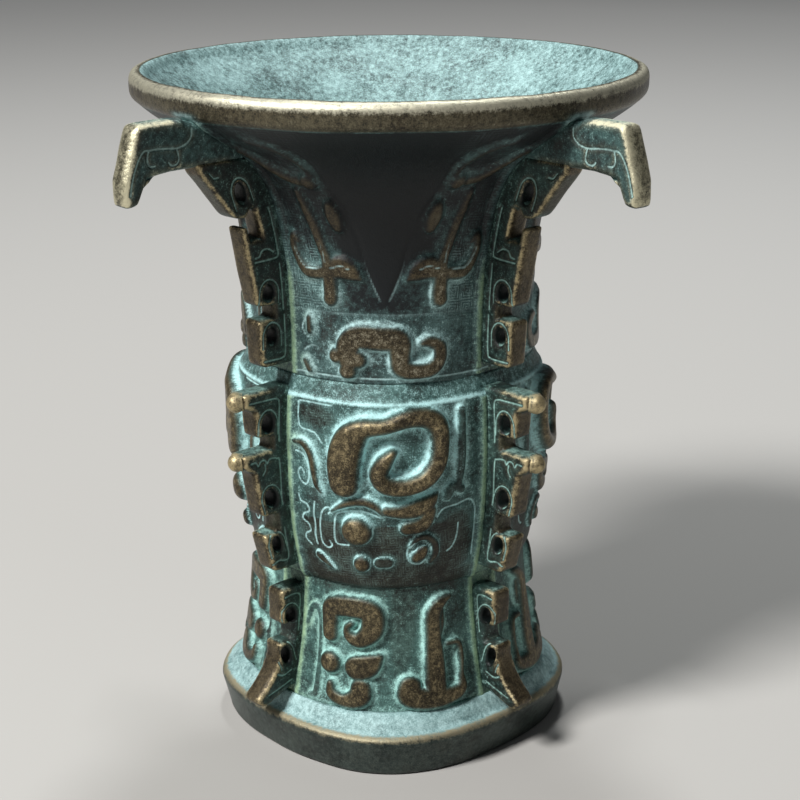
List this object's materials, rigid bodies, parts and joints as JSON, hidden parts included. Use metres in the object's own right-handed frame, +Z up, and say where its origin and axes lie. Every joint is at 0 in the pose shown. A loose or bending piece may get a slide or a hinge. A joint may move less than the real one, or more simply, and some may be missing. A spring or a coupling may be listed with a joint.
{
  "type": "bronze wine vessel",
  "caption": "Free-standing trumpet-mouthed bronze zun with hooked pierced flanges, drum belly, ring foot and base plate, for flowers, brushes or display",
  "frame": {"origin": "centre of the base's underside, on the surface that the vessel stands on", "axes": "+Z up along the vessel's axis, -Y out of the front face between two flange columns, which stand at 45 degrees"},
  "size_m": [0.1, 0.1, 0.135],
  "materials": {
    "dark_patina": "dark patinated cast bronze with blue-green verdigris in the recesses",
    "pale_patina": "cast bronze under pale blue-green verdigris, worn to brass at the edge",
    "worn_bronze": "dark patinated cast bronze with edges rubbed to a brassy gold"
  },
  "bodies": {
    "root": {"base": "pale_patina", "ring_foot": "dark_patina", "vessel_floor": "pale_patina", "belly": "dark_patina", "neck": "dark_patina", "rim_hook_front_left": "worn_bronze", "rim_hook_front_right": "worn_bronze", "rim_hook_back_right": "worn_bronze", "rim_hook_back_left": "worn_bronze", "neck_flange_front_left": "worn_bronze", "neck_flange_front_right": "worn_bronze", "neck_flange_back_right": "worn_bronze", "neck_flange_back_left": "worn_bronze", "belly_flange_front_left": "worn_bronze", "belly_flange_front_right": "worn_bronze", "belly_flange_back_right": "worn_bronze", "belly_flange_back_left": "worn_bronze", "foot_flange_front_left": "worn_bronze", "foot_flange_front_right": "worn_bronze", "foot_flange_back_right": "worn_bronze", "foot_flange_back_left": "worn_bronze"}
  },
  "joints": []
}
